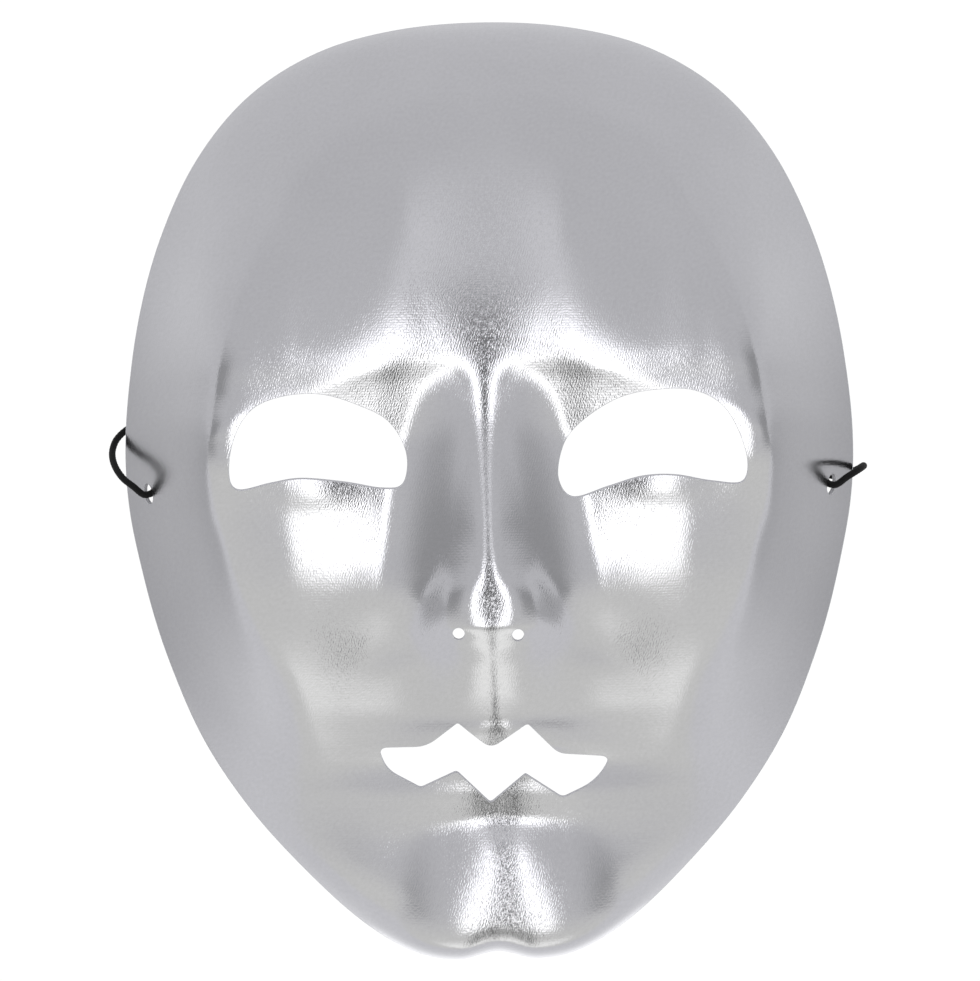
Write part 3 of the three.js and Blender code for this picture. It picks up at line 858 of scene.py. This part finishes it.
def braided_tube(name, path, cord, material):
    """A plain mesh of a braided tube along the given points, in the row frame."""
    curve = bpy.data.curves.new(name + "_path", "CURVE")
    curve.dimensions = "3D"
    spline = curve.splines.new("POLY")
    spline.points.add(len(path) - 1)
    spline.points.foreach_set("co", np.column_stack([path, np.ones(len(path))]).ravel())
    drawn = link(name + "_path", curve)
    modifier = drawn.modifiers.new("braid", "NODES")
    modifier.node_group = bpy.data.node_groups.get(BRAID_TREE) or braided_tube_tree()
    sizes = {
        "Diameter": cord.diameter, "Diamond length": cord.diamond_length, "Ridge": cord.ridge,
        "Diamonds round": cord.diamonds_round, "Sides": cord.sides, "Finish": material,
    }
    for item in modifier.node_group.interface.items_tree:
        if item.name in sizes:
            modifier[item.identifier] = sizes[item.name]
    bpy.context.view_layer.update()
    evaluated = drawn.evaluated_get(bpy.context.evaluated_depsgraph_get())
    mesh = bpy.data.meshes.new_from_object(evaluated)
    mesh.name = name
    bpy.data.objects.remove(drawn)
    bpy.data.curves.remove(curve)
    mesh.shade_smooth()
    return link(name, mesh)


def between(t, start, end, first, second):
    """From the first point at the start to the second at the end."""
    return (end - t) / (end - start) * first + (t - start) / (end - start) * second


def centripetal(points, steps_per_metre):
    """A smooth open curve through the points, whose speed follows the square root of their distance."""
    p = np.array(points, float)
    p = np.vstack([2 * p[0] - p[1], p, 2 * p[-1] - p[-2]])
    line = []
    for a, b, c, d in zip(p, p[1:], p[2:], p[3:]):
        at_b, at_c, at_d = np.cumsum([math.sqrt(np.linalg.norm(way)) for way in (b - a, c - b, d - c)])
        count = max(2, round(np.linalg.norm(c - b) * steps_per_metre))
        t = (at_b + (at_c - at_b) * np.arange(count) / count)[:, None]
        ab, bc = between(t, 0, at_b, a, b), between(t, at_b, at_c, b, c)
        cd = between(t, at_c, at_d, c, d)
        abc, bcd = between(t, 0, at_c, ab, bc), between(t, at_b, at_d, bc, cd)
        line.append(between(t, at_b, at_c, abc, bcd))
    return np.vstack([*line, p[-2:-1]])


def on_hole_axis(hole, out):
    """A point square to the sheet from a hole, so many metres out from its face, in the row frame."""
    at = np.array([hole], float)
    return to_row(on_face(at) + normals(at) * (out / MM))[0]


def cord_path(cord):
    """The cord from the left knot to the right one, in the row frame."""
    from_knot = KNOT_ENTRY - KNOT_SINK
    on_table = CORD_DIAMETER / 2 / MM + TABLE_GAP
    route = [
        on_hole_axis(LEFT_CORD_HOLE, from_knot),
        on_hole_axis(LEFT_CORD_HOLE, CORD_OUT),
        *to_row(FROM_LEFT_HOLE + [(x, y, on_table) for x, y in OVER_TABLE] + TO_RIGHT_HOLE),
        on_hole_axis(RIGHT_CORD_HOLE, CORD_OUT),
        on_hole_axis(RIGHT_CORD_HOLE, from_knot),
    ]
    return centripetal(route, cord.steps_per_metre)


def trefoil(turns):
    t = 2 * math.pi * np.atleast_1d(turns)
    return np.stack([np.sin(t) + 2 * np.sin(2 * t), np.cos(t) - 2 * np.cos(2 * t), -np.sin(3 * t)], 1)


def knot_path(hole, cord):
    """A knot behind its hole, in the row frame, which the cord enters along the hole's axis."""
    size = KNOT["size"] * cord.diameter
    loop = trefoil(np.linspace(*KNOT["turns"], KNOT["points"])) * size
    tail = trefoil(KNOT["tail_turn"]) * size + np.array(KNOT["tail"]) * cord.diameter
    n = normals(np.array([hole], float))[0]
    side = np.cross((0, 1, 0), n)
    side /= np.linalg.norm(side)
    axes = np.stack([side, np.cross(n, side), n])
    path = centripetal(np.vstack([(0, 0, KNOT_ENTRY), loop, tail]), cord.steps_per_metre)
    return path @ axes + on_hole_axis(hole, -KNOT_SINK)


# Settings
class ShellSizes(bpy.types.PropertyGroup):
    wall: FloatProperty(
        name="Wall", description="Thickness of the laminated sheet", default=0.0012, unit="LENGTH",
        precision=5,
    )
    front_step: FloatProperty(
        name="Front grid", description="Distance between points of the front", default=0.00085,
        unit="LENGTH", precision=5,
    )
    back_step: FloatProperty(
        name="Back grid", description="Distance between points of the back", default=0.0017,
        unit="LENGTH", precision=5,
    )


class ClothFinish(bpy.types.PropertyGroup):
    silver: FloatVectorProperty(
        name="Silver", description="Colour of the metallised threads", default=(0.436, 0.436, 0.446),
        subtype="COLOR",
    )
    pitch: FloatProperty(
        name="Thread pitch", description="Distance between two threads", default=0.00062, unit="LENGTH",
        precision=6,
    )
    skew: FloatProperty(name="Skew", description="Slant of the upright threads, as a slope", default=0.3)
    thread_height: FloatProperty(
        name="Thread height", description="How far a thread stands over the gaps", default=0.000006,
        unit="LENGTH", precision=7,
    )
    slub_height: FloatProperty(
        name="Slub height", description="Unevenness along a thread", default=0.000028, unit="LENGTH",
        precision=7,
    )
    ripple_height: FloatProperty(
        name="Ripple", description="Slow unevenness of the laminate", default=0.00002, unit="LENGTH",
        precision=7,
    )
    roughness: FloatProperty(
        name="Roughness", description="Roughness of the metallised yarn", default=0.12, subtype="FACTOR"
    )


class PlasticFinish(bpy.types.PropertyGroup):
    back: FloatVectorProperty(
        name="Back", description="Colour of the bare back", default=(0.72, 0.72, 0.73), subtype="COLOR"
    )
    back_roughness: FloatProperty(
        name="Back roughness", description="Roughness of the bare back", default=0.45, subtype="FACTOR"
    )
    cut: FloatVectorProperty(
        name="Cut edge", description="Colour of the cut edges", default=(0.42, 0.42, 0.44), subtype="COLOR"
    )
    cut_roughness: FloatProperty(
        name="Cut roughness", description="Roughness of the cut edges", default=0.5, subtype="FACTOR"
    )


class CordSizes(bpy.types.PropertyGroup):
    diameter: FloatProperty(
        name="Diameter", description="Outside diameter of the elastic", default=CORD_DIAMETER,
        unit="LENGTH", precision=5,
    )
    ridge: FloatProperty(
        name="Ridge", description="How far the braid stands out", default=0.00011, unit="LENGTH",
        precision=6,
    )
    diamond_length: FloatProperty(
        name="Diamond length", description="Length of one diamond of the braid", default=0.001,
        unit="LENGTH", precision=5,
    )
    diamonds_round: IntProperty(name="Diamonds round", description="Diamonds round the cord", default=8)
    sides: IntProperty(name="Sides", description="Points round the section", default=24)
    steps_per_metre: IntProperty(name="Steps", description="Points along one metre", default=4400)
    colour: FloatVectorProperty(
        name="Black", description="Colour of the yarn", default=(0.006, 0.006, 0.006), subtype="COLOR"
    )


class StageSizes(bpy.types.PropertyGroup):
    camera_height: FloatProperty(
        name="Camera height", description="Camera over the table", default=1.2, unit="LENGTH"
    )
    view_width: FloatProperty(
        name="View width", description="Width of table that the camera sees", default=0.2487, unit="LENGTH"
    )
    roll: FloatProperty(
        name="Roll", description="Camera's turn about its axis", default=math.radians(-1), unit="ROTATION"
    )
    surroundings: FloatProperty(name="Surroundings", description="Brightness of the white room", default=1.03)
    from_below: FloatProperty(
        name="From the chin", description="How much brighter the room is at the chin's side", default=0.19
    )
    softbox: FloatProperty(name="Softboxes", description="Brightness of the two softboxes", default=2.4)
    shade: FloatProperty(
        name="Camera's shade", description="Brightness of the camera's own reflection", default=0.15
    )
    table: FloatProperty(name="Table", description="Brightness of the table in view", default=1.03)


class MaskSettings(bpy.types.PropertyGroup):
    shell: PointerProperty(type=ShellSizes)
    cloth: PointerProperty(type=ClothFinish)
    plastic: PointerProperty(type=PlasticFinish)
    cord: PointerProperty(type=CordSizes)
    stage: PointerProperty(type=StageSizes)


# The room round the mask. Directions are in degrees from the camera's axis, to either side and upwards. Each
# zone is given by its fades. Lighter is added to the room's level there, darker is the share that it loses.
SOFTBOX = {"across": [(4, 7), (22, 17)], "up": [(-24, -6), (31, 17)]}
TALL_BOX = {"across": [(4, 7), (26, 12)], "up": [(10, 26), (74, 46)], "lighter": 0.3}
LOW_BOX = {"across": [(7, 15), (68, 52)], "up": [(-96, -80), (-30, -62)], "lighter": 0.6}
CAMERA_SHADE = {"across": [(7, 4)], "up": [(-110, -30), (38, 18)]}
DIM_SIDES = {"across": [(38, 74), (116, 96)], "up": [(-8, 5), (30, 16)], "darker": 0.4}
FAR_SIDES = {"across": [(104, 126)], "up": [(16, 0)], "darker": 0.18}

# Towards the chin's side the room is brighter and its tint warmer
BELOW_UP = (16, -30)
BLUE_ABOVE = (0.99, 0.99, 1.02)
WARM_BELOW = (1.0, 1.0, 0.975)

# The table, in metres. Where the mask reflects it, it is a little blue, and lighter towards the forehead and
# the chin than in the middle.
TABLE_SIDE = 6
TABLE_Z = -0.0002
TABLE_REFLECTED = 0.8
TABLE_BLUE = 1.03
BY_THE_FOREHEAD = {"y": (0.01, 0.06), "lighter": 0.26}
BY_THE_CHIN = {"y": (-0.03, -0.09), "lighter": 0.4}


def camera_above(stage):
    data = bpy.data.cameras.new("camera")
    data.sensor_fit = "HORIZONTAL"
    data.lens = data.sensor_width * stage.camera_height / stage.view_width
    camera = link("camera", data)
    camera.location = (0, EYE_LINE_Y * MM, stage.camera_height)
    camera.rotation_euler = (0, 0, stage.roll)
    bpy.context.scene.camera = camera


def white_room(stage):
    world = bpy.data.worlds.new("white_room")
    world.use_nodes = True
    world.node_tree.nodes.clear()
    graph = Graph(world.node_tree)
    x, y, z = coordinates(graph, "Generated").split()
    across = abs(x.angle(z)) * math.degrees(1)
    up = y.arc_sine() * math.degrees(1)

    def zone(limits):
        """1 in the middle of a zone, 0 outside it."""
        fades = [across.fade(*ends) for ends in limits["across"]]
        return math.prod(fades + [up.fade(*ends) for ends in limits["up"]])

    below = up.fade(*BELOW_UP)
    level = (1 + stage.from_below * below) * stage.surroundings
    for box in (TALL_BOX, LOW_BOX):
        level = level + zone(box) * box["lighter"]
    level = level + zone(SOFTBOX) * stage.softbox
    level = level * (1 - zone(CAMERA_SHADE) * (1 - stage.shade))
    for sides in (DIM_SIDES, FAR_SIDES):
        level = level * (1 - zone(sides) * sides["darker"])
    tint = mix_colour(graph, below, BLUE_ABOVE, WARM_BELOW)
    colour = graph.node("ShaderNodeVectorMath", {"operation": "SCALE"}, {0: tint, "Scale": level})
    light = graph.node("ShaderNodeBackground", {}, {"Color": colour, "Strength": 1.0})
    graph.node("ShaderNodeOutputWorld", {}, {"Surface": light})
    bpy.context.scene.world = world


def pale_table(stage):
    half = TABLE_SIDE / 2
    corners = [(x, y, TABLE_Z) for x, y in ((-half, -half), (half, -half), (half, half), (-half, half))]
    mesh = bpy.data.meshes.new("floor")
    mesh.from_pydata(corners, [], [(0, 1, 2, 3)])
    floor = link("floor", mesh)
    material, graph = new_material("pale_floor")
    _, y, _ = coordinates(graph).split()
    level = TABLE_REFLECTED
    for end in (BY_THE_FOREHEAD, BY_THE_CHIN):
        level = y.fade(*end["y"]) * end["lighter"] + level
    reflected = graph.node("ShaderNodeCombineXYZ", {}, {"X": level, "Y": level, "Z": level * TABLE_BLUE})
    in_view = graph.node("ShaderNodeLightPath", out="Is Camera Ray")
    colour = mix_colour(graph, in_view, reflected, (stage.table,) * 3)
    light = graph.node("ShaderNodeEmission", {}, {"Color": colour, "Strength": 1.0})
    graph.node("ShaderNodeOutputMaterial", {}, {"Surface": light})
    mesh.materials.append(material)


# Operators and the panel
class MIMEMASK_OT_stage(bpy.types.Operator):
    """Set the camera, the light and the pale table"""

    bl_idname = "mimemask.stage"
    bl_label = "Stage"

    def execute(self, context):
        stage = context.scene.mime_mask.stage
        context.scene.view_settings.view_transform = "Standard"
        camera_above(stage)
        white_room(stage)
        pale_table(stage)
        return {"FINISHED"}


class MIMEMASK_OT_cord(bpy.types.Operator):
    """Lay the braided elastic cord and tie its two knots"""

    bl_idname = "mimemask.cord"
    bl_label = "Cord and knots"

    def execute(self, context):
        cord = context.scene.mime_mask.cord
        elastic = braided_elastic(cord)
        path = cord_path(cord)
        tube = braided_tube("braided_cord", path, cord, elastic)
        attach(tube, BODY)
        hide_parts("elastic_cord")
        for name, node, hole in (
            ("tied_knot_left", "left_knot", LEFT_CORD_HOLE),
            ("tied_knot_right", "right_knot", RIGHT_CORD_HOLE),
        ):
            knot = braided_tube(name, knot_path(hole, cord), cord, elastic)
            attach(knot, BODY)
            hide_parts(node)
        on_hole_axis(LEFT_CORD_HOLE, 0).tolist()
        return {"FINISHED"}


class MIMEMASK_OT_shell(bpy.types.Operator):
    """Mould the cloth-faced shell"""

    bl_idname = "mimemask.shell"
    bl_label = "Shell"

    def execute(self, context):
        settings = context.scene.mime_mask
        sizes, plastic = settings.shell, settings.plastic
        mesh = shell_mesh(sizes.wall / MM, sizes.front_step / MM, sizes.back_step / MM)
        for material in (
            silver_cloth(settings.cloth),
            moulded_plastic("plain_plastic", plastic.back, plastic.back_roughness),
            moulded_plastic("cut_plastic", plastic.cut, plastic.cut_roughness),
        ):
            mesh.materials.append(material)
        shell = link("moulded_shell", mesh)
        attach(shell, BODY)
        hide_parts("mask_shell")
        return {"FINISHED"}


STEPS = (MIMEMASK_OT_stage, MIMEMASK_OT_cord, MIMEMASK_OT_shell)


class MIMEMASK_PT_panel(bpy.types.Panel):
    """Lists the mask's sizes and the steps that build it"""

    bl_label = "Mime mask"
    bl_idname = "MIMEMASK_PT_panel"
    bl_space_type = "VIEW_3D"
    bl_region_type = "UI"
    bl_category = "Mime mask"

    def draw(self, context):
        settings = context.scene.mime_mask
        for part in MaskSettings.__annotations__:
            group = getattr(settings, part)
            box = self.layout.box()
            for name in group.__annotations__:
                box.prop(group, name)
        for step in STEPS:
            self.layout.operator(step.bl_idname)


CLASSES = (
    ShellSizes, ClothFinish, PlasticFinish, CordSizes, StageSizes, MaskSettings, *STEPS, MIMEMASK_PT_panel,
)


def register():
    for cls in CLASSES:
        bpy.utils.register_class(cls)
    bpy.types.Scene.mime_mask = PointerProperty(type=MaskSettings)


def unregister():
    del bpy.types.Scene.mime_mask
    for cls in reversed(CLASSES):
        bpy.utils.unregister_class(cls)


def main():
    register()
    bpy.ops.mimemask.stage()
    bpy.ops.mimemask.cord()
    bpy.ops.mimemask.shell()


if __name__ == "__main__":
    main()
